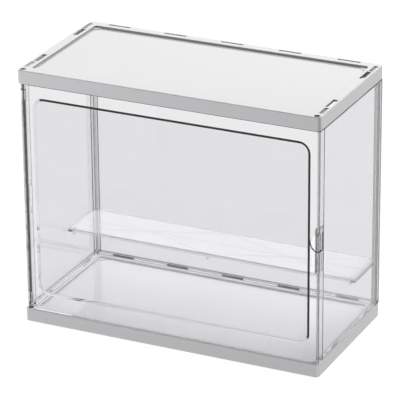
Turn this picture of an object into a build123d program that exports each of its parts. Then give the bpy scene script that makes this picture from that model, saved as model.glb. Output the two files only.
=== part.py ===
"""Clear shoe display box: two grey frames, three clear panels, a hinged clear door and a step shelf.

Units are millimetres. +X is to the right of someone who faces the door, +Y goes back, +Z is up.
The origin is the centre of the footprint, on the surface that the box stands on.
"""

import math
import os

from build123d import *

os.makedirs("parts", exist_ok=True)

# Whole box
WIDTH = 370.0
DEPTH = 182.0
HEIGHT = 311.0

# Frame: one moulding, used at the bottom and again at the top
FRAME_HEIGHT = 16.3
CORNER_R = 4.0  # upright corners, seen from above
EDGE_R = 1.0  # outer edges at the top and the bottom of the skirt
SKIRT = 2.4  # outer wall
RAIL = 12.5  # width of the raised rail round the deck
RECESS = 2.5  # the deck lies this far below the rail
RECESS_R = 3.0
LIP_R = 0.6  # rounding where the rail drops to the deck
DECK_T = 2.4
STEP_WALL = 2.0  # wall between the deck and the hollow of the rail
RIB_T = 1.6
RIB_FOOT = 3.0  # ribs under the deck stop this far above the skirt's foot
RIB_X = (-61.0, 61.0)
PAD_R = 9.0  # quarter-round stacking pads in the deck's corners
PAD_H = 0.5

# Clear panels: shallow trays with a rim that turns inwards all round
SHEET = 2.2
RIM = 7.4
INSET = 0.3  # the panels' outer faces stand this far inside the frames' sides
SEAT = 0.1  # gap between a panel's rim and a frame
SIDE_FRONT = -78.0  # front end of a side panel
SIDE_BACK = 83.2
PANEL_EDGE_R = 0.7
BACK_RIB_T = 1.8

# Slots in the frames' rails, and what goes in them
NARROW_SLOT = (4.6, 18.0)  # across and along the rail
WIDE_SLOT = (5.6, 24.0)
BACK_SLOT = (28.0, 3.2)
SLOT_R = 0.5
TAB_R = 0.4
SLOT_GAP = 0.4  # all round a tab
NARROW_X = WIDTH / 2 - 5.0
WIDE_X = WIDTH / 2 - 5.8
NARROW_Y = (-69.0, 73.5)
WIDE_Y = (-45.0, 51.0)
BACK_SLOT_X = (-145.0, -72.5, 0.0, 72.5, 145.0)
BACK_SLOT_Y = DEPTH / 2 - 4.2
END_INSET = 0.6  # tabs and pins end this far inside the frames' top and bottom faces
BACK_TAB = 7.8
HOOK_T = 2.0
HOOK_LEG = 11.0
HOOK_TOE = 5.0
HOOK_DEPTH = 3.2

# Hinge line and its pins
HINGE_X = -179.4
HINGE_Y = -86.3
PIN_HOLE_R = 3.45
PIN_R = 3.40
PIN_NECK_R = 2.9
JOURNAL_R = 2.0
BORE_R = 2.05
BORE_DEPTH = 12.0
JOURNAL = 11.0
BOSS_R = 4.6
BARREL_R = 3.6
BARREL_GAP = 7.6  # from a frame to the barrel's end
END_PLAY = 0.3
PIN_CHAMFER = 0.4

# Door
DOOR_T = 2.4
DOOR_GAP = 0.7  # above and below the door
DOOR_RIM_BACK = -79.0
DOOR_EDGE_R = 1.2
RELIEF = 4.4  # the plate's corners are cut away beside the pins
GROOVE_X = -174.5  # groove between the barrel and the plate's flat front
GROOVE_R = 0.9
FIELD = (340.6, 243.0)  # raised field on the door's inner side, at its foot
FIELD_CENTRE_Z = 158.1
FIELD_R = 14.0
FIELD_RISE = 1.8
FIELD_TAPER = 60.0  # lean of the field's bevelled sides
NOTCH_R = 10.6
NOTCH_X = 184.0
NOTCH_Z = 162.5
NOTCH_WALL = 1.0  # left of the rim behind the notch
DIMPLE_DEPTH = 0.6

# Catch clipped to the right panel's front rim
CATCH_BOTTOM = 126.0
CATCH_HEIGHT = 54.0
CATCH_X = (178.0, 182.0)
CATCH_FRONT = -85.6
CATCH_R = 3.6
CATCH_EDGE_R = 0.4
PEG = (2.0, 5.2)  # across and upwards
PEG_Z = (136.0, 170.0)
PEG_END = -74.6
PEG_GAP = 0.1  # all round a peg

# Shelf
SHELF_FRONT = 17.0
SHELF_BACK = 80.2
SHELF_TOP = 75.6
SHELF_T = 2.0
SHELF_END_GAP = 0.4
SHELF_R = 1.5
SHELF_EDGE_R = 0.4
LEDGE_T = 2.0
REST_GAP = 0.3
LIP_DROP = 2.2
LIP_T = 1.6
LEG_T = 1.6
LEG_X = 176.5  # outer side of the end legs
LEG_DEPTH = 7.0
LEG_DROP = 7.0
STRIP_W = 0.9
STRIP_DROP = 0.7
STRIP_INSET = 0.5  # the strips stop this far inside the shelf's front and back
GATE_R = 3.0
CENTRE_TAB = (8.0, 6.4)

upper_base = HEIGHT - FRAME_HEIGHT
deck_underside = FRAME_HEIGHT - RECESS - DECK_T
rail_underside = FRAME_HEIGHT - DECK_T
recess_width = WIDTH - 2 * RAIL
recess_depth = DEPTH - 2 * RAIL
panel_bottom = FRAME_HEIGHT + SEAT
panel_top = upper_base - SEAT
panel_height = panel_top - panel_bottom
middle_z = (panel_bottom + panel_top) / 2
side_face = WIDTH / 2 - INSET
side_inner = side_face - SHEET
rim_inner = side_face - RIM
back_face = DEPTH / 2 - INSET
side_length = SIDE_BACK - SIDE_FRONT
side_middle = (SIDE_BACK + SIDE_FRONT) / 2
door_face = HINGE_Y - BARREL_R
door_right = side_face
door_bottom = FRAME_HEIGHT + DOOR_GAP
door_top = upper_base - DOOR_GAP
barrel_bottom = FRAME_HEIGHT + BARREL_GAP
barrel_top = upper_base - BARREL_GAP
pin_places = [(HINGE_X, HINGE_Y), (-HINGE_X, HINGE_Y)]


def save(piece, name):
    """Labels a finished piece and writes it as one STEP file."""
    piece.label = name
    export_step(piece, f"parts/{name}.step")


def make_frame(base):
    """One frame: a skirt, a rail with slots round a sunk deck, and ribs under the deck."""
    with BuildPart() as frame:
        with BuildSketch(Plane.XY.offset(base)):
            RectangleRounded(WIDTH, DEPTH, CORNER_R)
        extrude(amount=FRAME_HEIGHT)
        fillet(frame.faces().sort_by(Axis.Z)[0].edges(), EDGE_R)
        fillet(frame.faces().sort_by(Axis.Z)[-1].edges(), EDGE_R)

        with BuildSketch(Plane.XY.offset(base + FRAME_HEIGHT)):
            RectangleRounded(recess_width, recess_depth, RECESS_R)
        extrude(amount=-RECESS, mode=Mode.SUBTRACT)
        rail_top = frame.faces().sort_by(Axis.Z)[-1]
        fillet(rail_top.inner_wires()[0].edges(), LIP_R)

        # Hollow under the deck, and the deeper hollow under the rail, both clear of the pin bosses
        with BuildSketch(Plane.XY.offset(base)):
            RectangleRounded(WIDTH - 2 * SKIRT, DEPTH - 2 * SKIRT, CORNER_R - SKIRT)
            with Locations(pin_places):
                Circle(BOSS_R, mode=Mode.SUBTRACT)
        extrude(amount=deck_underside, mode=Mode.SUBTRACT)
        with BuildSketch(Plane.XY.offset(base + deck_underside)):
            RectangleRounded(WIDTH - 2 * SKIRT, DEPTH - 2 * SKIRT, CORNER_R - SKIRT)
            Rectangle(
                recess_width + 2 * STEP_WALL,
                recess_depth + 2 * STEP_WALL,
                mode=Mode.SUBTRACT,
            )
            with Locations(pin_places):
                Circle(BOSS_R, mode=Mode.SUBTRACT)
        extrude(amount=rail_underside - deck_underside, mode=Mode.SUBTRACT)

        # Two ribs under the deck
        with BuildSketch(Plane.XY.offset(base + RIB_FOOT)):
            with Locations([(x, 0) for x in RIB_X]):
                Rectangle(RIB_T, DEPTH - 2 * SKIRT)
        extrude(amount=deck_underside - RIB_FOOT)

        # Stacking pads in the deck's corners
        with BuildSketch(Plane.XY.offset(base + FRAME_HEIGHT - RECESS)):
            with GridLocations(recess_width, recess_depth, 2, 2):
                Circle(PAD_R)
            RectangleRounded(recess_width, recess_depth, RECESS_R, mode=Mode.INTERSECT)
        extrude(amount=PAD_H)

        # Slots go right through the rail, and pin holes through the bosses
        with BuildSketch(Plane.XY.offset(base + FRAME_HEIGHT)):
            with Locations([(s * NARROW_X, y) for s in (-1, 1) for y in NARROW_Y]):
                RectangleRounded(*NARROW_SLOT, SLOT_R)
            with Locations([(s * WIDE_X, y) for s in (-1, 1) for y in WIDE_Y]):
                RectangleRounded(*WIDE_SLOT, SLOT_R)
            with Locations([(x, BACK_SLOT_Y) for x in BACK_SLOT_X]):
                RectangleRounded(*BACK_SLOT, SLOT_R)
            with Locations(pin_places):
                Circle(PIN_HOLE_R)
        extrude(amount=-FRAME_HEIGHT, mode=Mode.SUBTRACT)
    return frame.part


save(make_frame(0.0), "lower_frame")
save(make_frame(upper_base), "upper_frame")


# Right panel: a tray open to the inside, with a ledge for the shelf
with BuildPart() as right_panel:
    outside = Plane((side_face, side_middle, middle_z), x_dir=(0, 1, 0), z_dir=(1, 0, 0))
    with BuildSketch(outside):
        Rectangle(side_length, panel_height)
    extrude(amount=-RIM)
    fillet(right_panel.faces().sort_by(Axis.X)[-1].edges(), PANEL_EDGE_R)
    with BuildSketch(outside.offset(-SHEET)):
        Rectangle(side_length - 2 * SHEET, panel_height - 2 * SHEET)
    extrude(amount=SHEET - RIM, mode=Mode.SUBTRACT)

    # Ledge that carries the end of the shelf
    ledge_top = SHELF_TOP - SHELF_T - REST_GAP
    ledge_back = SIDE_BACK - SHEET
    with BuildSketch(Plane.XY.offset(ledge_top)):
        with Locations(((rim_inner + side_inner) / 2, (SHELF_FRONT + ledge_back) / 2)):
            Rectangle(RIM - SHEET, ledge_back - SHELF_FRONT)
    extrude(amount=-LEDGE_T)

    # Upper tabs, which reach almost to the top of the upper frame's rail
    with BuildSketch(Plane.XY.offset(panel_top)):
        with Locations([(NARROW_X, y) for y in NARROW_Y]):
            RectangleRounded(
                NARROW_SLOT[0] - 2 * SLOT_GAP, NARROW_SLOT[1] - 2 * SLOT_GAP, TAB_R
            )
    extrude(amount=HEIGHT - END_INSET - panel_top)

    # Lower hooks: each drops through a wide slot and slides back under the rail's top wall
    hook_x = WIDE_X + WIDE_SLOT[0] / 2 - SLOT_GAP - HOOK_T
    toe_top = rail_underside - SEAT
    with BuildSketch(Plane.YZ.offset(hook_x)):
        for y in WIDE_Y:
            leg_end = y + WIDE_SLOT[1] / 2 - SLOT_GAP
            with BuildLine():
                Polyline(
                    (leg_end - HOOK_LEG, panel_bottom),
                    (leg_end, panel_bottom),
                    (leg_end, toe_top),
                    (leg_end + HOOK_TOE, toe_top),
                    (leg_end + HOOK_TOE, toe_top - HOOK_DEPTH),
                    (leg_end - HOOK_LEG, toe_top - HOOK_DEPTH),
                    close=True,
                )
            make_face()
    extrude(amount=HOOK_T)

    # Holes in the front rim that take the catch's pegs
    with BuildSketch(Plane.XZ.offset(-SIDE_FRONT)):
        with Locations([(sum(CATCH_X) / 2, z) for z in PEG_Z]):
            Rectangle(PEG[0] + 2 * PEG_GAP, PEG[1] + 2 * PEG_GAP)
    extrude(amount=-SHEET, mode=Mode.SUBTRACT)
save(right_panel.part, "right_panel")

with BuildPart() as left_panel:
    mirror(right_panel.part, about=Plane.YZ)
save(left_panel.part, "left_panel")


# Back panel: the same kind of tray, open to the front
with BuildPart() as back_panel:
    outside = Plane((0, back_face, middle_z), x_dir=(-1, 0, 0), z_dir=(0, 1, 0))
    with BuildSketch(outside):
        Rectangle(2 * side_face, panel_height)
    extrude(amount=-RIM)
    fillet(back_panel.faces().sort_by(Axis.Y)[-1].edges(), PANEL_EDGE_R)
    with BuildSketch(outside.offset(-SHEET)):
        Rectangle(2 * side_inner, panel_height - 2 * SHEET)
    extrude(amount=SHEET - RIM, mode=Mode.SUBTRACT)

    # Upright ribs in line with the side panels' rims
    with BuildSketch(outside.offset(-SHEET)):
        with Locations([(s * (rim_inner + BACK_RIB_T / 2), 0) for s in (-1, 1)]):
            Rectangle(BACK_RIB_T, panel_height - 2 * SHEET)
    extrude(amount=SHEET - RIM)

    # Tabs along the top and the bottom
    for height, reach in ((panel_top, BACK_TAB), (panel_bottom, -BACK_TAB)):
        with BuildSketch(Plane.XY.offset(height)):
            with Locations([(x, BACK_SLOT_Y) for x in BACK_SLOT_X]):
                Rectangle(BACK_SLOT[0] - 2 * SLOT_GAP, BACK_SLOT[1] - 2 * SLOT_GAP)
        extrude(amount=reach)
save(back_panel.part, "back_panel")


# Hinge pins: a shank in the frame, a tapered neck, and a journal inside the door's barrel
def make_pin(frame_end, inner_face, direction):
    """A pin from frame_end, through the frame's inner face, pointing along direction (1 up, -1 down)."""
    neck_end = inner_face + direction * (BARREL_GAP - END_PLAY)
    with BuildPart() as pin:
        with BuildSketch(Plane.XY.offset(frame_end)):
            with Locations((HINGE_X, HINGE_Y)):
                Circle(PIN_R)
        extrude(amount=inner_face - frame_end)
        with BuildSketch(Plane.XY.offset(inner_face)):
            with Locations((HINGE_X, HINGE_Y)):
                Circle(PIN_R)
        with BuildSketch(Plane.XY.offset(neck_end)):
            with Locations((HINGE_X, HINGE_Y)):
                Circle(PIN_NECK_R)
        loft()
        with BuildSketch(Plane.XY.offset(neck_end)):
            with Locations((HINGE_X, HINGE_Y)):
                Circle(JOURNAL_R)
        extrude(amount=direction * JOURNAL)
        ends = pin.edges().filter_by(GeomType.CIRCLE).sort_by(Axis.Z)
        chamfer((ends[0], ends[-1]), PIN_CHAMFER)
    return pin.part


save(make_pin(END_INSET, FRAME_HEIGHT, 1), "lower_hinge_pin")
save(make_pin(HEIGHT - END_INSET, upper_base, -1), "upper_hinge_pin")


# Door: a plate with a hinge barrel on the left and a rim on the right
with BuildPart() as door:
    front = Plane.XZ.offset(-door_face)
    door_width = door_right - HINGE_X
    door_height = door_top - door_bottom
    with BuildSketch(front):
        with Locations(((door_right + HINGE_X) / 2, (door_top + door_bottom) / 2)):
            Rectangle(door_width, door_height)
    extrude(amount=-DOOR_T)
    with BuildSketch(Plane.XY.offset(door_bottom)):
        with Locations((door_right, door_face)):
            Rectangle(DOOR_T, DOOR_RIM_BACK - door_face, align=(Align.MAX, Align.MIN))
    extrude(amount=door_height)
    outer_corner = door.edges().filter_by(Axis.Z).sort_by_distance((door_right, door_face, middle_z))
    fillet(outer_corner[0], DOOR_EDGE_R)

    # Room for the pins' necks, above and below the barrel
    with BuildSketch(front):
        with Locations((HINGE_X, door_bottom)):
            Rectangle(
                RELIEF, barrel_bottom - door_bottom, align=(Align.MIN, Align.MIN)
            )
        with Locations((HINGE_X, door_top)):
            Rectangle(RELIEF, door_top - barrel_top, align=(Align.MIN, Align.MAX))
    extrude(amount=-DOOR_T, mode=Mode.SUBTRACT)

    with BuildSketch(Plane.XY.offset(barrel_bottom)):
        with Locations((HINGE_X, HINGE_Y)):
            Circle(BARREL_R)
    extrude(amount=barrel_top - barrel_bottom)

    with BuildSketch(Plane.XY.offset(barrel_bottom)):
        with Locations((GROOVE_X, door_face)):
            Circle(GROOVE_R)
    extrude(amount=barrel_top - barrel_bottom, mode=Mode.SUBTRACT)

    # Raised field on the inner side, with bevelled sides
    with BuildSketch(front.offset(-DOOR_T)):
        with Locations(((HINGE_X + door_right) / 2, FIELD_CENTRE_Z)):
            RectangleRounded(*FIELD, FIELD_R)
    extrude(amount=-FIELD_RISE, taper=FIELD_TAPER)

    # Finger notch through the free edge, and a shallow dimple by the hinge
    with BuildSketch(front):
        with Locations((NOTCH_X, NOTCH_Z)):
            Circle(NOTCH_R)
    extrude(amount=door_face - DOOR_RIM_BACK - NOTCH_WALL, mode=Mode.SUBTRACT)
    with BuildSketch(front):
        with Locations((HINGE_X, NOTCH_Z)):
            Circle(NOTCH_R)
    extrude(amount=-DIMPLE_DEPTH, mode=Mode.SUBTRACT)

    # Bores for the pins' journals
    with BuildSketch(Plane.XY.offset(barrel_bottom)):
        with Locations((HINGE_X, HINGE_Y)):
            Circle(BORE_R)
    extrude(amount=BORE_DEPTH, mode=Mode.SUBTRACT)
    with BuildSketch(Plane.XY.offset(barrel_top)):
        with Locations((HINGE_X, HINGE_Y)):
            Circle(BORE_R)
    extrude(amount=-BORE_DEPTH, mode=Mode.SUBTRACT)
save(door.part, "door")


# Catch: an upright tongue with two pegs that plug into the right panel's front rim
with BuildPart() as door_catch:
    catch_back = SIDE_FRONT - SEAT
    with BuildSketch(Plane.XZ.offset(-catch_back)):
        with Locations((CATCH_X[0], CATCH_BOTTOM)):
            Rectangle(CATCH_X[1] - CATCH_X[0], CATCH_HEIGHT, align=(Align.MIN, Align.MIN))
    extrude(amount=catch_back - CATCH_FRONT)
    top_edges = door_catch.edges().filter_by(Axis.Y).sort_by(Axis.Z)[-2:]
    fillet(top_edges.sort_by(Axis.X)[0], CATCH_R)
    fillet(door_catch.faces().sort_by(Axis.Y)[0].edges(), CATCH_EDGE_R)
    with BuildSketch(Plane.XZ.offset(-catch_back)):
        with Locations([(sum(CATCH_X) / 2, z) for z in PEG_Z]):
            Rectangle(*PEG)
    extrude(amount=catch_back - PEG_END)
save(door_catch.part, "door_catch")


# Shelf: a plate with a front lip, end legs that sit inside the ledges, and thin strips below
with BuildPart() as shelf:
    shelf_half = side_inner - SHELF_END_GAP
    shelf_depth = SHELF_BACK - SHELF_FRONT
    shelf_middle = (SHELF_BACK + SHELF_FRONT) / 2
    underside = SHELF_TOP - SHELF_T
    with BuildSketch(Plane.XY.offset(underside)):
        with Locations((0, shelf_middle)):
            RectangleRounded(2 * shelf_half, shelf_depth, SHELF_R)
    extrude(amount=SHELF_T)
    fillet(shelf.faces().sort_by(Axis.Z)[-1].edges(), SHELF_EDGE_R)

    with BuildSketch(Plane.XY.offset(underside)):
        with Locations((0, SHELF_FRONT)):
            Rectangle(2 * LEG_X, LIP_T, align=(Align.CENTER, Align.MIN))
    extrude(amount=-LIP_DROP)

    # End legs with rounded feet
    with BuildSketch(Plane.YZ.offset(LEG_X)):
        with BuildLine():
            Polyline(
                (SHELF_FRONT, underside - LEG_DROP / 2),
                (SHELF_FRONT, underside),
                (SHELF_FRONT + LEG_DEPTH, underside),
                (SHELF_FRONT + LEG_DEPTH, underside - LEG_DROP / 2),
            )
            ThreePointArc(
                (SHELF_FRONT + LEG_DEPTH, underside - LEG_DROP / 2),
                (SHELF_FRONT + LEG_DEPTH / 2, underside - LEG_DROP),
                (SHELF_FRONT, underside - LEG_DROP / 2),
            )
        make_face()
    legs = extrude(amount=-LEG_T)
    mirror(legs, about=Plane.YZ)

    # Pointed tab under the middle of the front edge
    with BuildSketch(Plane.XZ.offset(-SHELF_FRONT)):
        with BuildLine():
            Polyline(
                (-CENTRE_TAB[0] / 2, underside),
                (CENTRE_TAB[0] / 2, underside),
                (0, underside - CENTRE_TAB[1]),
                close=True,
            )
        make_face()
    extrude(amount=-LIP_T)

    # Strips: one along the middle, one across it, and a cross in each half
    cross_angle = math.degrees(math.atan2(shelf_depth, shelf_half))
    cross_length = math.hypot(shelf_depth, shelf_half)
    with BuildSketch(Plane.XY.offset(underside)):
        with Locations((0, shelf_middle)):
            Rectangle(2 * LEG_X, STRIP_W)
            Rectangle(STRIP_W, shelf_depth)
        with Locations((-shelf_half / 2, shelf_middle), (shelf_half / 2, shelf_middle)):
            Rectangle(cross_length, STRIP_W, rotation=cross_angle)
            Rectangle(cross_length, STRIP_W, rotation=-cross_angle)
            Circle(GATE_R)
        with Locations((0, shelf_middle)):
            Rectangle(2 * LEG_X, shelf_depth - 2 * STRIP_INSET, mode=Mode.INTERSECT)
    extrude(amount=-STRIP_DROP)
save(shelf.part, "shelf")
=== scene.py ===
"""Looks of a clear shoe display box: finishes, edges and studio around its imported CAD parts.

Lengths are metres. +X is to the right of someone who faces the door, +Y goes back and +Z is up.
"""

import logging
import math
from dataclasses import dataclass, field
from enum import Enum
from typing import Any, Callable, Sequence

import bmesh
import bpy
from mathutils import Matrix, Vector


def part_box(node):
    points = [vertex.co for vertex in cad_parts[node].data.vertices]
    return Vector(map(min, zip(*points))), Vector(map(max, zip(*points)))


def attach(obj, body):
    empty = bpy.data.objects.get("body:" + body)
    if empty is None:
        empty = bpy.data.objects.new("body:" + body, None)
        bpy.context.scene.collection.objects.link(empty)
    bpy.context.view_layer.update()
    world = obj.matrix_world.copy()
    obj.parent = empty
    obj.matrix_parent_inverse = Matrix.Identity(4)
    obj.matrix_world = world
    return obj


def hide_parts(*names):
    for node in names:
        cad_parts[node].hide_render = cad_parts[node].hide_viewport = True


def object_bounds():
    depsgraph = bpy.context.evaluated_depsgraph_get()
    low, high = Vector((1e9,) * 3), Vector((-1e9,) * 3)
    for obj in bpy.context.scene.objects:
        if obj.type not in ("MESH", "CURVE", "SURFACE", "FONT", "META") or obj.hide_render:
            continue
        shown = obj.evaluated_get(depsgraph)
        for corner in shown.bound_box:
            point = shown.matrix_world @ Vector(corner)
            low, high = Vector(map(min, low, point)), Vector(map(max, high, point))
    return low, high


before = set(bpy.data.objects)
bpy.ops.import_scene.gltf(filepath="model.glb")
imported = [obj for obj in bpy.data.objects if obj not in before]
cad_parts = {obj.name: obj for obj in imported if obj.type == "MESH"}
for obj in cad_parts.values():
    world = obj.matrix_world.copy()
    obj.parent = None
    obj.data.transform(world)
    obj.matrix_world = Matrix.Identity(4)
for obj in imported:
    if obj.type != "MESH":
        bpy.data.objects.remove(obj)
cad_low, cad_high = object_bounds()

MM = 0.001
ROUND_SIDES = 64  # facets round a rod, a bore or a barrel
WELD = 0.002 * MM  # corners nearer than this are one
FLAT = math.radians(0.5)  # faces that meet at less than this are one
SHARP = math.radians(28.0)  # edges that turn more than this are rounded
# the rounded edges' material is painted darker, as painted shade
EDGE_INDEX = 1  # material slot of the rounded edges
PLASTIC_IOR = 1.5

Colour = tuple[float, float, float]
Tones = tuple[Colour, Colour]
Dress = tuple[bpy.types.Material, ...]
log = logging.getLogger("shoe_box")


# ---------------------------------------------------------------- shader maths


class Term:
    """A shader socket that can be used in ordinary arithmetic."""

    def __init__(self, graph: "Graph", socket: bpy.types.NodeSocket) -> None:
        """Wraps one output socket of a graph's node."""
        self.graph = graph
        self.socket = socket

    def _maths(self, operation: str, *values: Any) -> "Term":
        """Adds one Math node that works on the given values."""
        return self.graph.node("ShaderNodeMath", {"operation": operation}, dict(enumerate(values)))

    def __add__(self, other: Any) -> "Term":
        """self + other"""
        return self._maths("ADD", self, other)

    def __radd__(self, other: Any) -> "Term":
        """other + self"""
        return self._maths("ADD", other, self)

    def __sub__(self, other: Any) -> "Term":
        """self - other"""
        return self._maths("SUBTRACT", self, other)

    def __rsub__(self, other: Any) -> "Term":
        """other - self"""
        return self._maths("SUBTRACT", other, self)

    def __mul__(self, other: Any) -> "Term":
        """self * other"""
        return self._maths("MULTIPLY", self, other)

    def __rmul__(self, other: Any) -> "Term":
        """other * self"""
        return self._maths("MULTIPLY", other, self)

    def __truediv__(self, other: Any) -> "Term":
        """self / other"""
        return self._maths("DIVIDE", self, other)

    def __abs__(self) -> "Term":
        """abs(self)"""
        return self._maths("ABSOLUTE", self)

    def above(self, edge: float, blur: float) -> "Term":
        """A mask that rises from 0 to 1 round an edge.

        Args:
            edge: the value at which the mask is one half.
            blur: how far the mask takes to rise.

        Returns:
            The mask.
        """
        ramp = (self - (edge - blur / 2)) / blur
        return self.graph.node("ShaderNodeClamp", {}, {"Value": ramp})


class Graph:
    """A node tree that shader expressions are added to."""

    def __init__(self, tree: bpy.types.NodeTree) -> None:
        """Empties the tree and takes it over."""
        self.tree = tree
        self.tree.nodes.clear()

    def node(self, kind: str, settings: dict[str, Any], inputs: dict[Any, Any], out: Any = 0) -> Term | None:
        """Adds any node.

        Args:
            kind: the node's type.
            settings: attributes of the node, set before its sockets.
            inputs: values or Terms by socket name or number.
            out: name or number of the output that is wanted, or None where there is none.

        Returns:
            The wanted output.
        """
        made = self.tree.nodes.new(kind)
        for key, value in settings.items():
            setattr(made, key, value)
        for key, value in inputs.items():
            self.feed(made, key, value)
        return None if out is None else Term(self, made.outputs[out])

    def feed(self, made: bpy.types.Node, key: Any, value: Any) -> None:
        """Sets one socket of a node to a plain value, or links a Term to it."""
        if isinstance(value, Term):
            self.tree.links.new(value.socket, made.inputs[key])
        else:
            made.inputs[key].default_value = value

    def place(self, kind: str = "Object") -> Term:
        """Object coordinates in metres, or in a sky the direction that is looked in."""
        return self.node("ShaderNodeTexCoord", {}, {}, kind)

    def axes(self, kind: str = "Object") -> tuple[Term, Term, Term]:
        """The X, Y and Z of place(kind)."""
        split = self.tree.nodes.new("ShaderNodeSeparateXYZ")
        self.feed(split, 0, self.place(kind))
        return tuple(Term(self, socket) for socket in split.outputs)

    def noise(self, per_metre: float, detail: float = 2.0, rough: float = 0.5) -> Term:
        """Noise from 0 to 1 on object coordinates, with so many lumps per metre."""
        return self.node(
            "ShaderNodeTexNoise",
            {"noise_dimensions": "3D"},
            {"Vector": self.place(), "Scale": per_metre, "Detail": detail, "Roughness": rough},
        )

    def mix(self, amount: Any, low: Any, high: Any) -> Term:
        """Mixes two colours, low where amount is 0 and high where it is 1."""
        mixer = self.tree.nodes.new("ShaderNodeMix")
        mixer.data_type = "RGBA"
        for key, value in ((0, amount), (6, low), (7, high)):
            self.feed(mixer, key, (*value, 1.0) if isinstance(value, tuple) else value)
        return Term(self, mixer.outputs[2])

    def bump(self, height: Term, strength: float, distance: float) -> Term:
        """A normal bent by a height."""
        return self.node(
            "ShaderNodeBump", {}, {"Strength": strength, "Distance": distance, "Height": height}, "Normal"
        )


class Finish(Graph):
    """The node tree of one new material, round its Principled shader."""

    def __init__(self, name: str) -> None:
        """Makes a material with that name, with its Principled shader plugged in."""
        self.material = bpy.data.materials.new(name)
        self.material.use_nodes = True
        super().__init__(self.material.node_tree)
        self.shader = self.tree.nodes.new("ShaderNodeBsdfPrincipled")
        self.output = self.tree.nodes.new("ShaderNodeOutputMaterial")
        self.tree.links.new(self.shader.outputs["BSDF"], self.output.inputs["Surface"])

    def surface(self, **inputs: Any) -> None:
        """Sets the Principled shader's sockets; an underscore stands for a space."""
        for key, value in inputs.items():
            self.feed(self.shader, key.replace("_", " "), value)

    def absorb(self, colour: Colour, density: float) -> None:
        """Darkens what passes through the inside, the more so the longer its way there."""
        inside = self.tree.nodes.new("ShaderNodeVolumeAbsorption")
        inside.inputs["Color"].default_value = (*colour, 1.0)
        inside.inputs["Density"].default_value = density
        self.tree.links.new(inside.outputs["Volume"], self.output.inputs["Volume"])

    def let_light_through(self, shadow: Colour) -> None:
        """Lets the lamps shine through, each surface leaving this much of their light."""
        ray = self.node("ShaderNodeLightPath", {}, {}, "Is Shadow Ray")
        thin = self.node("ShaderNodeBsdfTransparent", {}, {"Color": (*shadow, 1.0)})
        both = self.tree.nodes.new("ShaderNodeMixShader")
        self.feed(both, 0, ray)
        self.tree.links.new(self.shader.outputs["BSDF"], both.inputs[1])
        self.feed(both, 2, thin)
        self.tree.links.new(both.outputs["Shader"], self.output.inputs["Surface"])


# ---------------------------------------------------------------- finishes


@dataclass(frozen=True)
class GreyMoulding:
    """Light grey opaque plastic: satin outer skirts round a polished deck and rail, whose tones are set
    apart from the skirts' as painted light and shade.

    Attributes:
        name: the material's name.
        skirt_tones: darker and lighter colour of the skirts.
        deck_painted_light_tones: darker and lighter colour of the deck and rail, set apart from the skirts'
            tones as painted light and shade.
        deck_half: half width and half depth of what lies inside the skirts' outer faces.
        satin: roughness of the skirts.
        polish: roughness of the deck and rail.
        lacquer: how much of a clear coat's shine the deck and rail have.
        lacquer_rough: roughness of that shine.
        clouds: soft patches of tone per metre.
        grains: specks of the mould's grain per metre.
        grain_share: how much of the change of tone is grain.
        grain_strength: how much of the grain's slopes shows.
        grain_depth: height of the grain.
        patchiness: how far the roughness wanders.
    """

    name: str
    skirt_tones: Tones
    deck_painted_light_tones: Tones
    deck_half: tuple[float, float]
    satin: float = 0.42
    polish: float = 0.05
    lacquer: float = 0.15
    lacquer_rough: float = 0.06
    clouds: float = 9.0
    grains: float = 2600.0
    grain_share: float = 0.3
    grain_strength: float = 0.12
    grain_depth: float = 0.05 * MM
    patchiness: float = 0.08

    def build(self) -> bpy.types.Material:
        """Makes the material."""
        graph = Finish(self.name)
        across, along, _ = graph.axes()
        blur = 1 * MM
        off_deck = 1 - (1 - abs(across).above(self.deck_half[0], blur)) * (
            1 - abs(along).above(self.deck_half[1], blur)
        )
        on_deck = 1 - off_deck
        cloud = graph.noise(self.clouds, 3.0)
        grain = graph.noise(self.grains, 2.0)
        shade = (1 - self.grain_share) * cloud + self.grain_share * grain
        # painted light and shade: the deck's tones stand apart from the skirts' for how the light falls on
        # it
        skirt, deck = graph.mix(shade, *self.skirt_tones), graph.mix(shade, *self.deck_painted_light_tones)
        graph.surface(
            Base_Color=graph.mix(on_deck, skirt, deck),
            Roughness=self.satin + (self.polish - self.satin) * on_deck + self.patchiness * (cloud - 0.5),
            Normal=graph.bump(grain * (0.1 + 0.9 * off_deck), self.grain_strength, self.grain_depth),
            Coat_Weight=self.lacquer * on_deck,
            Coat_Roughness=self.lacquer_rough,
            IOR=PLASTIC_IOR,
        )
        return graph.material


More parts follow.
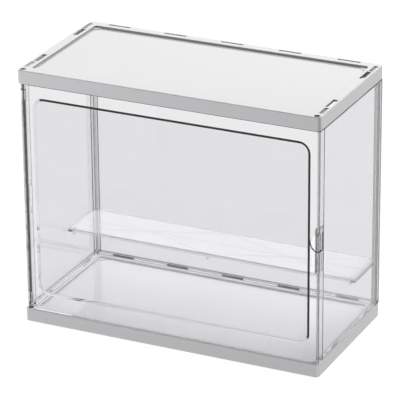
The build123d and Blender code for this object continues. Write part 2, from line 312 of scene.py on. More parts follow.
@dataclass(frozen=True)
class ClearMoulding:
    """Clear polished plastic with the faint ripple that a mould leaves.

    Attributes:
        name: the name of the faces' material.
        tint: what the clearest places let through.
        haze: what the cloudiest places let through.
        edge: painted shade: the darker colour that the rounded edges let through, standing in for the dark
            lines that light bent in the edges gives.
        smoke: colour that the inside tends to.
        density: how fast it gets there, per metre.
        rough: mean roughness.
        ripple: depth of the ripple.
        ripple_strength: how much of the ripple's slopes shows.
        flows: ripples per metre.
        clouds: cloudy places per metre.
        milk: how much of the light is scattered instead of let through.
        shadow: what one surface leaves of a lamp's light.
    """

    name: str
    tint: Colour = (1.0, 1.0, 1.0)
    haze: Colour = (0.985, 0.985, 0.985)
    # painted shade: the rounded edges' darker colour, for the dark lines of light bent in them
    edge: Colour = (0.5, 0.5, 0.52)
    smoke: Colour = (0.0, 0.0, 0.06)
    density: float = 46.0
    rough: float = 0.01
    ripple: float = 0.02 * MM
    ripple_strength: float = 0.3
    flows: float = 14.0
    clouds: float = 30.0
    milk: float = 0.0
    shadow: Colour = (0.97, 0.97, 0.97)

    def build(self) -> Dress:
        """Makes the materials of the faces and of the rounded edges, whose darker colour is painted shade.
        """
        faces = self.material(self.name, self.tint, self.haze)
        # painted shade: the edges' material takes the darker edge colour
        return faces, self.material(f"{self.name}_edge", self.edge, self.edge)

    def material(self, name: str, tint: Colour, haze: Colour) -> bpy.types.Material:
        """Makes one material.

        Args:
            name: its name.
            tint: what its clearest places let through.
            haze: what its cloudiest places let through.

        Returns:
            The material.
        """
        graph = Finish(name)
        flow = graph.noise(self.flows, 1.0)
        cloud = graph.noise(self.clouds, 3.0)
        graph.surface(
            Base_Color=graph.mix(cloud, tint, haze),
            Roughness=self.rough * (0.6 + 0.8 * cloud),
            Normal=graph.bump(flow, self.ripple_strength, self.ripple),
            IOR=PLASTIC_IOR,
            Transmission_Weight=1 - self.milk,
        )
        graph.absorb(self.smoke, self.density)
        graph.let_light_through(self.shadow)
        return graph.material


# ---------------------------------------------------------------- shapes


class Axis(Enum):
    """A direction that rods and turned shapes stand along."""

    Y = "Y"
    Z = "Z"

    def turn(self) -> Matrix:
        """The rotation that takes a shape standing along Z to this axis."""
        return Matrix.Rotation(math.radians(90.0), 4, "X") if self is Axis.Y else Matrix.Identity(4)


class Combine(Enum):
    """What a boolean does with its second shape."""

    ADD = "UNION"
    CUT = "DIFFERENCE"


def arc(
    centre: Sequence[float], radius: float, start: float, end: float, steps: int
) -> list[tuple[float, float]]:
    """Points along an arc, seen from above.

    Args:
        centre: its centre.
        radius: its radius.
        start: the angle that it starts at, counted from +X towards +Y.
        end: the angle that it ends at.
        steps: how many chords it has.

    Returns:
        The points, both ends included.
    """
    turns = (start + (end - start) * step / steps for step in range(steps + 1))
    return [(centre[0] + radius * math.cos(turn), centre[1] + radius * math.sin(turn)) for turn in turns]


class Moulding:
    """A closed shell that is added to and cut away from, then has its edges softened."""

    def __init__(self) -> None:
        """Starts with an empty shell."""
        self.bm = bmesh.new()

    @classmethod
    def block(cls, corner: Sequence[float], opposite: Sequence[float]) -> "Moulding":
        """A block between two opposite corners, in any order."""
        shape = cls()
        one, other = Vector(corner), Vector(opposite)
        size = Vector(abs(step) for step in other - one)
        place = Matrix.Translation((one + other) / 2) @ Matrix.Diagonal((*size, 1.0))
        bmesh.ops.create_cube(shape.bm, size=1.0, matrix=place)
        return shape

    @classmethod
    def rod(cls, centre: Sequence[float], radius: float, length: float, axis: Axis) -> "Moulding":
        """A round rod along an axis.

        Args:
            centre: its middle.
            radius: its radius.
            length: its length.
            axis: the axis that it lies along.

        Returns:
            The rod.
        """
        shape = cls()
        bmesh.ops.create_cone(
            shape.bm,
            cap_ends=True,
            segments=ROUND_SIDES,
            radius1=radius,
            radius2=radius,
            depth=length,
            matrix=Matrix.Translation(Vector(centre)) @ axis.turn(),
        )
        return shape

    @classmethod
    def turned(cls, profile: Sequence[tuple[float, float]], centre: Vector) -> "Moulding":
        """A solid of revolution about an upright axis.

        Args:
            profile: radius and height of each corner, from the axis round to the axis again.
            centre: a point on the axis, which the heights are measured from.

        Returns:
            The solid.
        """
        shape = cls()
        bm = shape.bm
        corners = [bm.verts.new(centre + Vector((radius, 0.0, height))) for radius, height in profile]
        line = [bm.edges.new(pair) for pair in zip(corners, corners[1:])]
        bmesh.ops.spin(
            bm,
            geom=corners + line,
            cent=centre,
            axis=(0.0, 0.0, 1.0),
            angle=math.tau,
            steps=ROUND_SIDES,
            use_merge=True,
        )
        bmesh.ops.remove_doubles(bm, verts=bm.verts[:], dist=WELD)
        bmesh.ops.recalc_face_normals(bm, faces=bm.faces[:])
        return shape

    @classmethod
    def plate(cls, outline: Sequence[Sequence[float]], along: Sequence[float]) -> "Moulding":
        """A plate of any outline.

        Args:
            outline: the corners of one face, in order.
            along: the way and the distance that it is extruded.

        Returns:
            The plate.
        """
        shape = cls()
        bm = shape.bm
        face = bm.faces.new([bm.verts.new(corner) for corner in outline])
        grown = bmesh.ops.extrude_face_region(bm, geom=[face])["geom"]
        moved = [part for part in grown if isinstance(part, bmesh.types.BMVert)]
        bmesh.ops.translate(bm, vec=Vector(along), verts=moved)
        bmesh.ops.recalc_face_normals(bm, faces=bm.faces[:])
        return shape

    def split(self, point: Vector, normal: Vector) -> None:
        """Draws a seam round the shell, where a plane meets it."""
        parts = self.bm.verts[:] + self.bm.edges[:] + self.bm.faces[:]
        bmesh.ops.bisect_plane(self.bm, geom=parts, dist=WELD, plane_co=point, plane_no=normal)

    def lengthen(self, chosen: Callable[[Vector], bool], along: Vector) -> None:
        """Extrudes the faces whose middle passes a test."""
        faces = [face for face in self.bm.faces if chosen(face.calc_center_median())]
        grown = bmesh.ops.extrude_face_region(self.bm, geom=faces)["geom"]
        moved = [part for part in grown if isinstance(part, bmesh.types.BMVert)]
        bmesh.ops.translate(self.bm, vec=along, verts=moved)
        bmesh.ops.delete(self.bm, geom=[face for face in faces if face.is_valid], context="FACES")

    def add(self, *shapes: "Moulding") -> "Moulding":
        """Joins other shapes on."""
        for shape in shapes:
            self._combine(shape, Combine.ADD)
        return self

    def cut(self, *shapes: "Moulding") -> "Moulding":
        """Cuts other shapes away."""
        for shape in shapes:
            self._combine(shape, Combine.CUT)
        return self

    def _combine(self, tool: "Moulding", way: Combine) -> None:
        """Applies one exact boolean, with the tool shape used up."""
        blank, cutter = self._loan(self.bm), self._loan(tool.bm)
        step = blank.modifiers.new("combine", "BOOLEAN")
        step.operation, step.solver, step.object = way.value, "EXACT", cutter
        result = bpy.data.meshes.new_from_object(blank.evaluated_get(bpy.context.evaluated_depsgraph_get()))
        self.bm.clear()
        self.bm.from_mesh(result)
        tool.bm.free()
        for mesh in (blank.data, cutter.data, result):
            bpy.data.meshes.remove(mesh)

    @staticmethod
    def _loan(bm: bmesh.types.BMesh) -> bpy.types.Object:
        """An object that lends a bmesh to a modifier."""
        mesh = bpy.data.meshes.new("loan")
        bm.to_mesh(mesh)
        loan = bpy.data.objects.new("loan", mesh)
        bpy.context.scene.collection.objects.link(loan)
        return loan

    def edges(self, chosen: Callable[[Vector, Vector], bool]) -> list[bmesh.types.BMEdge]:
        """The edges whose two ends, taken together, pass a test."""
        return [edge for edge in self.bm.edges if chosen(*(corner.co for corner in edge.verts))]

    def round_off(
        self, edges: list[bmesh.types.BMEdge], radius: float, segments: int
    ) -> list[bmesh.types.BMFace]:
        """Rounds some edges.

        Args:
            edges: the edges.
            radius: how far the rounding reaches from each.
            segments: how many faces it takes across.

        Returns:
            The faces of the roundings.
        """
        return bmesh.ops.bevel(
            self.bm,
            geom=edges,
            offset=radius,
            affect="EDGES",
            segments=segments,
            profile=0.5,
            material=-1,
            clamp_overlap=True,
        )["faces"]

    def soften(self, radius: float, segments: int = 2) -> "Moulding":
        """Rounds every edge that is still sharp."""
        bmesh.ops.remove_doubles(self.bm, verts=self.bm.verts[:], dist=WELD)
        bmesh.ops.dissolve_limit(
            self.bm, angle_limit=FLAT, verts=self.bm.verts[:], edges=self.bm.edges[:]
        )
        sharp = [edge for edge in self.bm.edges if edge.is_manifold and edge.calc_face_angle() > SHARP]
        for face in self.round_off(sharp, radius, segments):
            face.material_index = EDGE_INDEX
        return self

    def mirrored(self) -> "Moulding":
        """A copy for the other side of the box."""
        twin = Moulding()
        twin.bm = self.bm.copy()
        bmesh.ops.scale(twin.bm, vec=(-1.0, 1.0, 1.0), verts=twin.bm.verts[:])
        bmesh.ops.recalc_face_normals(twin.bm, faces=twin.bm.faces[:])
        return twin

    def piece(self, node: str, body: str, slot: str, finish: Dress) -> bpy.types.Object:
        """Makes the shell a piece of the object that stands for a CAD node.

        Args:
            node: the CAD node.
            body: the body that the piece rides on.
            slot: the record's material slot; not used.
            finish: the piece's materials, for its faces and for its rounded edges.

        Returns:
            The piece.
        """
        mesh = bpy.data.meshes.new(f"moulded_{node}")
        self.bm.to_mesh(mesh)
        for material in finish:
            mesh.materials.append(material)
        made = bpy.data.objects.new(f"moulded_{node}", mesh)
        bpy.context.scene.collection.objects.link(made)
        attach(made, body)
        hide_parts(node)
        open_edges = sum(not edge.is_manifold for edge in self.bm.edges)
        log.info("%s: %d faces on %s, %d open edges", made.name, len(self.bm.faces), body, open_edges)
        self.bm.free()
        return made


# ---------------------------------------------------------------- studio


@dataclass(frozen=True)
class Softbox:
    """A square soft light that points at the box.

    Attributes:
        name: the light's name.
        place: where it stands.
        side: its edge length.
        power: its power in watts.
    """

    name: str
    place: tuple[float, float, float]
    side: float
    power: float


@dataclass
class Studio:
    """Pale floor, soft lights, a sky and the camera.

    Attributes:
        centre: middle of the box.
        floor_half: half the floor's edge length.
        floor_glow: light that the floor gives off, so that shadows on it stay faint.
        bright_turn: how far left of straight back the sky is brightest.
        sky_front: strength of the sky in front of the box, which makes dark lines in its edges.
        sky_low: strength behind the box, near the horizon.
        sky_back: strength of the patch behind the box that shines in the decks.
        sky_top: strength overhead.
        sky_rise: height of the patch's lower edge, and how far it takes to rise.
        patch_edge: how nearly straight back the patch ends, and how far it takes to end.
        sky_turnover: where the front turns into the back, and how far it takes to.
        softboxes: the lights.
        azimuth: the camera's turn from straight in front, towards the right.
        elevation: its height as an angle.
        roll: its turn about its own line of sight.
        distance: how far it stands from what it aims at.
        aim: what it aims at, from the middle of the box.
        angle: its angle of view.
    """

    centre: Vector
    floor_half: float = 6.0
    floor_glow: float = 0.96
    bright_turn: float = math.radians(25.0)
    sky_front: float = 0.02
    sky_low: float = 0.88
    sky_back: float = 2.3
    sky_top: float = 0.05
    sky_rise: tuple[float, float] = (0.29, 0.12)
    patch_edge: tuple[float, float] = (0.6, 0.5)
    sky_turnover: tuple[float, float] = (-0.1, 1.5)
    softboxes: tuple[Softbox, ...] = (
        Softbox("left_softbox", (-0.75, -0.75, 0.6), 0.4, 3.0),
        Softbox("rear_softbox", (0.3, 1.1, 1.85), 0.8, 40.0),
    )
    azimuth: float = math.radians(25.42)
    elevation: float = math.radians(22.91)
    roll: float = math.radians(-0.54)
    distance: float = 3.224
    aim: Vector = field(default_factory=lambda: Vector((-0.0005, -0.0027, -0.0057)))
    angle: float = math.radians(8.13)

    def build(self) -> None:
        """Makes the floor, the sky, the camera and the lights."""
        self.make_floor()
        self.make_sky()
        self.make_camera()
        for softbox in self.softboxes:
            self.make_light(softbox)

    def make_floor(self) -> None:
        """Makes the pale floor."""
        bm = bmesh.new()
        bmesh.ops.create_grid(bm, x_segments=1, y_segments=1, size=self.floor_half)
        mesh = bpy.data.meshes.new("studio_floor")
        bm.to_mesh(mesh)
        bm.free()
        floor = bpy.data.objects.new("studio_floor", mesh)
        bpy.context.scene.collection.objects.link(floor)
        graph = Finish("pale_floor")
        graph.surface(
            Base_Color=(0.1, 0.1, 0.1, 1.0),
            Roughness=0.9,
            Specular_IOR_Level=0.0,
            Emission_Color=(1.0, 1.0, 1.0, 1.0),
            Emission_Strength=self.floor_glow,
        )
        mesh.materials.append(graph.material)

    def make_sky(self) -> None:
        """Makes a sky that is bright behind the box and dim in front of it."""
        world = bpy.data.worlds.new("studio_sky")
        world.use_nodes = True
        graph = Graph(world.node_tree)
        across, along, upward = graph.axes("Generated")
        rearward = math.cos(self.bright_turn) * along - math.sin(self.bright_turn) * across
        patch = upward.above(*self.sky_rise) * rearward.above(*self.patch_edge)
        back = self.sky_low + (self.sky_back - self.sky_low) * patch
        low = self.sky_front + (back - self.sky_front) * rearward.above(*self.sky_turnover)
        steep = upward * upward
        strength = low * (1 - steep) + self.sky_top * steep
        white = (1.0, 1.0, 1.0, 1.0)
        sky = graph.node("ShaderNodeBackground", {}, {"Color": white, "Strength": strength})
        graph.node("ShaderNodeOutputWorld", {}, {"Surface": sky}, None)
        bpy.context.scene.world = world
        bpy.context.scene.view_settings.view_transform = "Standard"

    def make_light(self, softbox: Softbox) -> None:
        """Makes one light, which lights the box but isn't mirrored in it."""
        lamp = bpy.data.lights.new(softbox.name, "AREA")
        lamp.size = softbox.side
        lamp.energy = softbox.power
        light = bpy.data.objects.new(softbox.name, lamp)
        light.location = softbox.place
        light.rotation_mode = "QUATERNION"
        light.rotation_quaternion = (self.centre - Vector(softbox.place)).to_track_quat("-Z", "Y")
        light.visible_camera = False
        light.visible_glossy = False
        light.visible_transmission = False
        bpy.context.scene.collection.objects.link(light)

    def make_camera(self) -> None:
        """Makes the camera at its azimuth, elevation and roll round the box."""
        lens = bpy.data.cameras.new("camera")
        lens.lens = lens.sensor_width / 2 / math.tan(self.angle / 2)
        lens.clip_end = 50.0
        camera = bpy.data.objects.new("camera", lens)
        back = Vector(
            (
                math.sin(self.azimuth) * math.cos(self.elevation),
                -math.cos(self.azimuth) * math.cos(self.elevation),
                math.sin(self.elevation),
            )
        )
        turn = (-back).to_track_quat("-Z", "Y").to_matrix().to_4x4()
        camera.matrix_world = (
            Matrix.Translation(self.centre + self.aim + back * self.distance)
            @ turn
            @ Matrix.Rotation(self.roll, 4, "Z")
        )
        bpy.context.scene.collection.objects.link(camera)
        bpy.context.scene.camera = camera


# ---------------------------------------------------------------- the box


@dataclass
class Frames:
    """The two grey frames, which keep their CAD shape.

    Attributes:
        top_skirt: darker and lighter colour of the top frame's skirt.
        top_deck_painted_shade: the same for its deck and rail, painted darker than the skirt as painted
            shade against the strong light from above.
        base_skirt_painted_shade: the same for the lower frame's skirt, painted a little darker than the top
            frame's as painted shade.
        base_deck_painted_light: the same for the lower frame's deck and rail, painted lighter as painted
            light, since the walls and the top frame keep light off it.
        skirt_margin: how far in from the outside the deck's and rail's finish begins.
    """

    # painted light and shade: both frames are one grey; the upper deck is painted darker, the lower deck
    # lighter and the lower skirt a little darker, for how the light falls on each
    top_skirt: Tones = ((0.64, 0.64, 0.655), (0.68, 0.68, 0.695))
    top_deck_painted_shade: Tones = ((0.44, 0.44, 0.448), (0.47, 0.47, 0.478))
    base_skirt_painted_shade: Tones = ((0.61, 0.61, 0.625), (0.65, 0.65, 0.665))
    base_deck_painted_light: Tones = ((0.87, 0.87, 0.873), (0.9, 0.9, 0.903))
    skirt_margin: float = 0.5 * MM

    def build(self) -> None:
        """Dresses both frames."""
        for node, skirt, deck in (
            ("upper_frame", self.top_skirt, self.top_deck_painted_shade),
            ("lower_frame", self.base_skirt_painted_shade, self.base_deck_painted_light),
        ):
            _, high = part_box(node)
            half = (high.x - self.skirt_margin, high.y - self.skirt_margin)
            name = node.replace("frame", "grey")
            dress(node, GreyMoulding(name, skirt, deck, half).build())


@dataclass
class SidePanels:
    """The left and right panels: trays with a rim, shelf ledge, upper tabs and lower hooks.

    Attributes:
        seat: gap between a panel and the frame above or below it.
        sheet: thickness of the tray's wall and rim.
        outer_round: radius of the outer face's edges.
        outer_steps: facets across that radius.
        soft: radius of the other edges.
        ledge: thickness of the shelf ledge.
        ledge_drop: depth of the ledge's top below the shelf's top.
        tab: width and depth of an upper tab.
        tab_inset: distance of the tabs' middle from the frame's outer face.
        tab_places: how far forward or back each tab stands.
        hook_inset: distance of the hooks' outer face from the frame's.
        hook_thick: thickness of a hook.
        hook_leg: depth of its upright leg.
        hook_toe: how far its toe reaches back.
        hook_drop: height of the toe.
        hook_ends: how far forward or back the back of each leg stands.
        peg_hole: width and height of a hole for the catch's pegs.
        peg_inset: distance of the holes' middle from the outer face.
        peg_places: heights of the holes.
    """

    seat: float = 0.1 * MM
    sheet: float = 2.2 * MM
    outer_round: float = 0.7 * MM
    outer_steps: int = 4
    soft: float = 0.55 * MM
    ledge: float = 2.0 * MM
    ledge_drop: float = 2.3 * MM
    tab: tuple[float, float] = (3.8 * MM, 17.2 * MM)
    tab_inset: float = 5.0 * MM
    tab_places: tuple[float, float] = (-69.0 * MM, 73.5 * MM)
    hook_inset: float = 3.4 * MM
    hook_thick: float = 2.0 * MM
    hook_leg: float = 11.0 * MM
    hook_toe: float = 5.0 * MM
    hook_drop: float = 3.2 * MM
    hook_ends: tuple[float, float] = (-33.4 * MM, 62.6 * MM)
    peg_hole: tuple[float, float] = (2.2 * MM, 5.4 * MM)
    peg_inset: float = 4.7 * MM
    peg_places: tuple[float, float] = (136.0 * MM, 170.0 * MM)

    def right(self) -> Moulding:
        """The right panel."""
        low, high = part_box("right_panel")
        shelf_low, shelf_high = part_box("shelf")
        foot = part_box("lower_frame")[1].z + self.seat
        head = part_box("upper_frame")[0].z - self.seat
        sheet = self.sheet
        panel = Moulding.block((low.x, low.y, foot), (high.x, high.y, head))
        outer = panel.edges(lambda a, b: min(a.x, b.x) > high.x - WELD)
        panel.round_off(outer, self.outer_round, self.outer_steps)
        inner_low = (low.x - sheet, low.y + sheet, foot + sheet)
        panel.cut(Moulding.block(inner_low, (high.x - sheet, high.y - sheet, head - sheet)))
        ledge_top = shelf_high.z - self.ledge_drop
        ledge_low = (low.x, shelf_low.y, ledge_top - self.ledge)
        panel.add(Moulding.block(ledge_low, (high.x - sheet / 2, high.y - sheet / 2, ledge_top)))
        tab_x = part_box("upper_frame")[1].x - self.tab_inset
        for y in self.tab_places:
            across, along = self.tab[0] / 2, self.tab[1] / 2
            tab_low = (tab_x - across, y - along, head - sheet / 2)
            panel.add(Moulding.block(tab_low, (tab_x + across, y + along, high.z)))
        hook_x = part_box("upper_frame")[1].x - self.hook_inset
        for end in self.hook_ends:
            start, toe = end - self.hook_leg, low.z + self.hook_drop
            outline = (
                (hook_x, start, foot + sheet / 2),
                (hook_x, end, foot + sheet / 2),
                (hook_x, end, toe),
                (hook_x, end + self.hook_toe, toe),
                (hook_x, end + self.hook_toe, low.z),
                (hook_x, start, low.z),
            )
            panel.add(Moulding.plate(outline, (-self.hook_thick, 0.0, 0.0)))
        peg_x = high.x - self.peg_inset
        for z in self.peg_places:
            across, up = self.peg_hole[0] / 2, self.peg_hole[1] / 2
            hole_low = (peg_x - across, low.y - sheet, z - up)
            panel.cut(Moulding.block(hole_low, (peg_x + across, low.y + 1.5 * sheet, z + up)))
        return panel.soften(self.soft)

    def build(self, left_finish: Dress, right_finish: Dress) -> None:
        """Builds both panels, the left one as the right one mirrored."""
        right = self.right()
        right.mirrored().piece("left_panel", "case", "clear_panel", left_finish)
        right.piece("right_panel", "case", "clear_panel", right_finish)


@dataclass
class BackPanel:
    """The back panel: a tray open to the front, with upright ribs and tabs above and below.

    Attributes:
        seat: gap between the panel and the frame above or below it.
        sheet: thickness of the tray's wall and rim.
        outer_round: radius of the outer face's edges.
        outer_steps: facets across that radius.
        soft: radius of the other edges.
        rim: depth of the side panels' rims, in line with which the ribs stand.
        rib: thickness of a rib.
        tab: width and depth of a tab.
        tab_pitch: distance from tab to tab.
        tab_inset: distance of the tabs' middle from the frame's outer face.
    """

    seat: float = 0.1 * MM
    sheet: float = 2.2 * MM
    outer_round: float = 0.7 * MM
    outer_steps: int = 4
    soft: float = 0.55 * MM
    rim: float = 7.4 * MM
    rib: float = 1.8 * MM
    tab: tuple[float, float] = (27.2 * MM, 2.4 * MM)
    tab_pitch: float = 72.5 * MM
    tab_inset: float = 4.2 * MM

    def build(self, finish: Dress) -> None:
        """Builds the panel."""
        low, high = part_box("back_panel")
        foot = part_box("lower_frame")[1].z + self.seat
        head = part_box("upper_frame")[0].z - self.seat
        sheet = self.sheet
        panel = Moulding.block((low.x, low.y, foot), (high.x, high.y, head))
        outer = panel.edges(lambda a, b: min(a.y, b.y) > high.y - WELD)
        panel.round_off(outer, self.outer_round, self.outer_steps)
        inner_low = (low.x + sheet, low.y - sheet, foot + sheet)
        panel.cut(Moulding.block(inner_low, (high.x - sheet, high.y - sheet, head - sheet)))
        for side in (-1, 1):
            inner = side * (high.x - self.rim)
            rib_high = (inner + side * self.rib, high.y - sheet / 2, head - sheet / 2)
            panel.add(Moulding.block((inner, low.y, foot + sheet / 2), rib_high))
        tab_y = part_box("upper_frame")[1].y - self.tab_inset
        across, along = self.tab[0] / 2, self.tab[1] / 2
        for step in range(-2, 3):
            x = step * self.tab_pitch
            for inside, end in ((head - sheet / 2, high.z), (foot + sheet / 2, low.z)):
                tab_low = (x - across, tab_y - along, inside)
                panel.add(Moulding.block(tab_low, (x + across, tab_y + along, end)))
        panel.soften(self.soft).piece("back_panel", "case", "clear_panel", finish)


@dataclass
class Door:
    """The door: a plate with a hinge barrel, a rim and notch at the free edge, and a raised field inside.

    Attributes:
        thick: thickness of the plate and the rim.
        barrel: radius of the barrel.
        barrel_gap: distance of the barrel's ends from the plate's.
        bore: radius of the bores for the pins' journals.
        bore_depth: depth of a bore.
        relief: how far from the hinge axis the plate gives way to the pins' necks.
        groove: radius of the groove beside the barrel.
        groove_inset: distance of the groove from the door's hinge side.
        groove_steps: facets across the groove.
        edge_round: radius of the free edge's outer corner.
        edge_steps: facets across that radius.
        field: width and height of the field at its foot.
        field_height: height of the field's middle.
        field_corner: radius of its corners.
        field_steps: facets across that radius.
        field_rise: how far it stands up from the plate.
        field_lean: lean of its sides from straight up.
        notch: radius of the finger notch.
        notch_inset: distance of the notch's centre from the free edge.
        notch_height: height of the notch, and of the dimple by the hinge.
        notch_wall: what the notch leaves of the rim.
        dimple: depth of the dimple.
        soft: radius of the edges.
    """

    thick: float = 2.4 * MM
    barrel: float = 3.6 * MM
    barrel_gap: float = 6.9 * MM
    bore: float = 2.05 * MM
    bore_depth: float = 12.0 * MM
    relief: float = 4.4 * MM
    groove: float = 0.9 * MM
    groove_inset: float = 8.5 * MM
    groove_steps: int = 12
    edge_round: float = 1.2 * MM
    edge_steps: int = 6
    field: tuple[float, float] = (340.6 * MM, 243.0 * MM)
    field_height: float = 158.1 * MM
    field_corner: float = 14.0 * MM
    field_steps: int = 16
    field_rise: float = 1.8 * MM
    field_lean: float = math.radians(60.0)
    notch: float = 10.6 * MM
    notch_inset: float = 0.7 * MM
    notch_height: float = 162.5 * MM
    notch_wall: float = 1.0 * MM
    dimple: float = 0.6 * MM
    soft: float = 0.4 * MM

    def raised_field(self, centre: Vector) -> Moulding:
        """The raised field, with sloping sides, on a foot that is sunk into the plate at a centre."""
        shape = Moulding()
        bm = shape.bm
        lay = Matrix.Translation(centre) @ Matrix.Rotation(math.radians(90.0), 4, "X")
        bmesh.ops.create_grid(bm, x_segments=1, y_segments=1, size=0.5, matrix=Matrix.Identity(4))
        bmesh.ops.scale(bm, vec=(*self.field, 1.0), verts=bm.verts[:])
        bmesh.ops.bevel(
            bm,
            geom=bm.verts[:],
            offset=self.field_corner,
            affect="VERTICES",
            segments=self.field_steps,
            profile=0.5,
            material=-1,
        )
        bmesh.ops.transform(bm, matrix=lay, verts=bm.verts[:])
        foot = bm.faces[:]
        grown = bmesh.ops.extrude_face_region(bm, geom=foot)["geom"]
        face = next(part for part in grown if isinstance(part, bmesh.types.BMFace))
        bmesh.ops.translate(bm, vec=(0.0, self.thick / 2, 0.0), verts=face.verts[:])
        grown = bmesh.ops.extrude_face_region(bm, geom=[face])["geom"]
        face = next(part for part in grown if isinstance(part, bmesh.types.BMFace))
        slope = self.field_rise * math.tan(self.field_lean)
        bmesh.ops.inset_individual(bm, faces=[face], thickness=slope, use_even_offset=True)
        bmesh.ops.translate(bm, vec=(0.0, self.field_rise, 0.0), verts=face.verts[:])
        bmesh.ops.remove_doubles(bm, verts=bm.verts[:], dist=WELD)
        bmesh.ops.recalc_face_normals(bm, faces=bm.faces[:])
        return shape

    def section(self, low: Vector, high: Vector, hinge: Vector) -> list[tuple[float, float]]:
        """The door's plan: barrel, groove, rounded free corner and rim.

        Args:
            low: the lowest corner of the door's box.
            high: the highest one.
            hinge: a point on the hinge axis.

        Returns:
            The corners of the plan, in order.
        """
        rear = low.y + self.thick
        meet = math.asin((rear - hinge.y) / self.barrel)
        groove = (low.x + self.groove_inset, low.y)
        corner = (high.x - self.edge_round, low.y + self.edge_round)
        quarter = math.pi / 2
        return [
            *arc(hinge, self.barrel, meet, 3 * quarter, ROUND_SIDES * 3 // 4),
            *arc(groove, self.groove, math.pi, 0.0, self.groove_steps),
            *arc(corner, self.edge_round, -quarter, 0.0, self.edge_steps),
            (high.x, high.y),
            (high.x - self.thick, high.y),
            (high.x - self.thick, rear),
        ]

    def build(self, finish: Dress) -> None:
        """Builds the door."""
        low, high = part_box("door")
        hinge = Vector((low.x + self.barrel, low.y + self.barrel, (low.z + high.z) / 2))
        foot, head = low.z + self.barrel_gap, high.z - self.barrel_gap
        plan = [(x, y, foot) for x, y in self.section(low, high, hinge)]
        door = Moulding.plate(plan, (0.0, 0.0, head - foot))
        beside_pins = hinge.x + self.relief
        door.split(Vector((beside_pins, 0.0, 0.0)), Vector((1.0, 0.0, 0.0)))
        for end, stop in ((foot, low.z), (head, high.z)):
            door.lengthen(
                lambda middle: abs(middle.z - end) < WELD and middle.x > beside_pins,
                Vector((0.0, 0.0, stop - end)),
            )
        field_foot = Vector(((hinge.x + high.x) / 2, low.y + self.thick / 2, self.field_height))
        door.add(self.raised_field(field_foot))
        notch_deep = high.y - self.notch_wall - low.y
        for x, deep in ((high.x - self.notch_inset, notch_deep), (hinge.x, self.dimple)):
            door.cut(Moulding.rod((x, low.y, self.notch_height), self.notch, 2 * deep, Axis.Y))
        for end in (foot, head):
            door.cut(Moulding.rod((hinge.x, hinge.y, end), self.bore, 2 * self.bore_depth, Axis.Z))
        door.soften(self.soft).piece("door", "door", "clear_door", finish)


@dataclass
class HingePins:
    """The two pins that the door turns on: a shank in the frame, a tapered neck and a journal.

    Attributes:
        shank: radius of the shank.
        neck: radius of the neck's thin end.
        journal: radius of the journal.
        journal_length: length of the journal.
        neck_length: length of the neck.
        chamfer: chamfer of both ends.
    """

    shank: float = 3.4 * MM
    neck: float = 2.9 * MM
    journal: float = 2.0 * MM
    journal_length: float = 11.0 * MM
    neck_length: float = 7.3 * MM
    chamfer: float = 0.4 * MM

    def build(self, finish: Dress) -> None:
        """Builds both pins."""
        for node, up in (("lower_hinge_pin", 1), ("upper_hinge_pin", -1)):
            low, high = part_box(node)
            base = Vector(((low.x + high.x) / 2, (low.y + high.y) / 2, low.z if up > 0 else high.z))
            whole = high.z - low.z
            journal_start = whole - self.journal_length
            neck_start = journal_start - self.neck_length
            profile = (
                (0.0, 0.0),
                (self.shank - self.chamfer, 0.0),
                (self.shank, self.chamfer),
                (self.shank, neck_start),
                (self.neck, journal_start),
                (self.journal, journal_start),
                (self.journal, whole - self.chamfer),
                (self.journal - self.chamfer, whole),
                (0.0, whole),
            )
            pin = Moulding.turned([(radius, up * height) for radius, height in profile], base)
            pin.piece(node, "case", "clear_pin", finish)


@dataclass
class Catch:
    """The tongue on the right panel's front rim, with the two pegs that hold it.

    Attributes:
        peg: width and height of a peg.
        peg_length: how far a peg stands out at the back.
        peg_places: heights of the pegs.
        shoulder: radius of the tongue's upper inner corner.
        shoulder_steps: facets across that radius.
        soft: radius of the edges.
        soft_steps: facets across that radius.
    """

    peg: tuple[float, float] = (2.0 * MM, 5.2 * MM)
    peg_length: float = 3.5 * MM
    peg_places: tuple[float, float] = (136.0 * MM, 170.0 * MM)
    shoulder: float = 3.6 * MM
    shoulder_steps: int = 8
    soft: float = 0.35 * MM
    soft_steps: int = 3

    def build(self, finish: Dress) -> None:
        """Builds the catch."""
        low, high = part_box("door_catch")
        back = high.y - self.peg_length
        catch = Moulding.block(low, (high.x, back, high.z))
        corner = catch.edges(lambda a, b: max(a.x, b.x) < low.x + WELD and min(a.z, b.z) > high.z - WELD)
        catch.round_off(corner, self.shoulder, self.shoulder_steps)
        middle = (low.x + high.x) / 2
        across, up = self.peg[0] / 2, self.peg[1] / 2
        for z in self.peg_places:
            peg_low = (middle - across, back - self.soft, z - up)
            catch.add(Moulding.block(peg_low, (middle + across, high.y, z + up)))
        catch.soften(self.soft, self.soft_steps).piece("door_catch", "case", "clear_catch", finish)


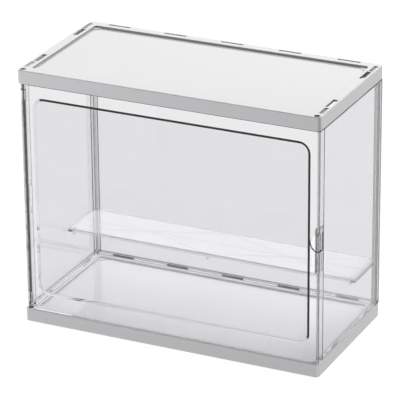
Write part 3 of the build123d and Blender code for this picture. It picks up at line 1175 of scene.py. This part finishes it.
@dataclass
class StepShelf:
    """The half-depth shelf: a plate with a front lip, end legs, a centre tab and thin strips below.

    Attributes:
        thick: thickness of the plate.
        corner: radius of its corners, seen from above.
        corner_steps: facets across that radius.
        lip: depth of the lip, and how far it hangs down.
        leg_inset: distance of the legs' outer faces from the plate's ends.
        leg: thickness, depth and drop of a leg.
        tab: width and drop of the centre tab.
        strip: width and drop of a strip.
        strip_inset: distance of the strips' ends from the plate's edges.
        gate: radius of the round marks where the strips cross.
        soft: radius of the edges.
    """

    thick: float = 2.0 * MM
    corner: float = 1.5 * MM
    corner_steps: int = 5
    lip: tuple[float, float] = (1.6 * MM, 2.2 * MM)
    leg_inset: float = 5.6 * MM
    leg: tuple[float, float, float] = (1.6 * MM, 7.0 * MM, 7.0 * MM)
    tab: tuple[float, float] = (8.0 * MM, 6.4 * MM)
    strip: tuple[float, float] = (0.9 * MM, 0.7 * MM)
    strip_inset: float = 0.5 * MM
    gate: float = 3.0 * MM
    soft: float = 0.2 * MM

    def build(self, finish: Dress) -> None:
        """Builds the shelf."""
        low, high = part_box("shelf")
        under = high.z - self.thick
        inside = under + self.thick / 2
        middle = (low.y + high.y) / 2
        leg_x = high.x - self.leg_inset
        leg_thick, leg_deep, leg_drop = self.leg
        foot = leg_deep / 2
        shelf = Moulding.block((low.x, low.y, under), high)
        upright = shelf.edges(lambda a, b: abs(a.z - b.z) > self.thick / 2)
        shelf.round_off(upright, self.corner, self.corner_steps)
        lip_deep, lip_drop = self.lip
        shelf.add(Moulding.block((-leg_x, low.y, under - lip_drop), (leg_x, low.y + lip_deep, inside)))
        for side in (-1, 1):
            x = side * (leg_x - leg_thick / 2)
            leg_low = (x - leg_thick / 2, low.y, under - leg_drop + foot)
            leg = Moulding.block(leg_low, (x + leg_thick / 2, low.y + leg_deep, inside))
            toe = Moulding.rod((0.0, 0.0, 0.0), foot, leg_thick, Axis.Z)
            lay = Matrix.Rotation(math.pi / 2, 4, "Y")
            place = Matrix.Translation((x, low.y + foot, under - leg_drop + foot)) @ lay
            bmesh.ops.transform(toe.bm, matrix=place, verts=toe.bm.verts[:])
            shelf.add(leg.add(toe))
        half = self.tab[0] / 2
        tab = (
            (-half, low.y, under + self.soft),
            (half, low.y, under + self.soft),
            (0.0, low.y, under - self.tab[1]),
        )
        shelf.add(Moulding.plate(tab, (0.0, lip_deep, 0.0)))
        self.add_strips(shelf, high.x, middle, high.y - middle - self.strip_inset, under)
        shelf.soften(self.soft).piece("shelf", "step_shelf", "clear_shelf", finish)

    def add_strips(
        self, shelf: Moulding, half_width: float, middle: float, half_depth: float, under: float
    ) -> None:
        """Adds the strips under the shelf: along it, across it, and a cross with a gate mark in each half.

        Args:
            shelf: the shelf.
            half_width: half of its width.
            middle: the Y of its middle.
            half_depth: half of its depth, less the strips' inset.
            under: the height of its underside.
        """
        wide, drop = self.strip
        reach = half_width - self.leg_inset
        cross = math.hypot(half_width / 2, half_depth) - 2 * wide
        lean = math.atan2(half_depth, half_width / 2)
        runs = [(0.0, reach, 0.0), (0.0, half_depth, math.pi / 2)]
        runs += [(side * half_width / 2, cross, turn * lean) for side in (-1, 1) for turn in (-1, 1)]
        for x, half_length, turn in runs:
            run = Moulding.block((-half_length, -wide / 2, -drop), (half_length, wide / 2, drop))
            place = Matrix.Translation((x, middle, under)) @ Matrix.Rotation(turn, 4, "Z")
            bmesh.ops.transform(run.bm, matrix=place, verts=run.bm.verts[:])
            shelf.add(run)
        for side in (-1, 1):
            mark = (side * half_width / 2, middle, under)
            shelf.add(Moulding.rod(mark, self.gate, 2.2 * drop, Axis.Z))


def dress(node: str, finish: bpy.types.Material) -> None:
    """Gives a CAD node its finish."""
    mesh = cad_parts[node].data
    mesh.materials.clear()
    mesh.materials.append(finish)
    log.info("%s: CAD shape, dressed in %s", node, finish.name)


def main() -> None:
    """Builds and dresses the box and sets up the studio."""
    logging.basicConfig(level=logging.INFO, format="%(message)s")
    Studio(centre=(cad_low + cad_high) / 2).build()
    Frames().build()
    # painted light and shade: the side panels are one moulding; the left has thinner smoke to look lighter
    # and the right thicker smoke to look darker, for the light that falls on each side
    SidePanels().build(
        ClearMoulding("clear_left_painted_light", density=34.0).build(),
        ClearMoulding("clear_right_painted_shade", density=96.0).build(),
    )
    BackPanel().build(ClearMoulding("clear_back").build())
    Door().build(ClearMoulding("clear_door", density=54.0).build())
    HingePins().build(ClearMoulding("clear_pin", density=120.0).build())
    Catch().build(ClearMoulding("clear_catch", density=80.0, rough=0.12).build())
    StepShelf().build(ClearMoulding("clear_shelf", density=5.0, milk=0.25).build())


if __name__ == "__main__":
    main()
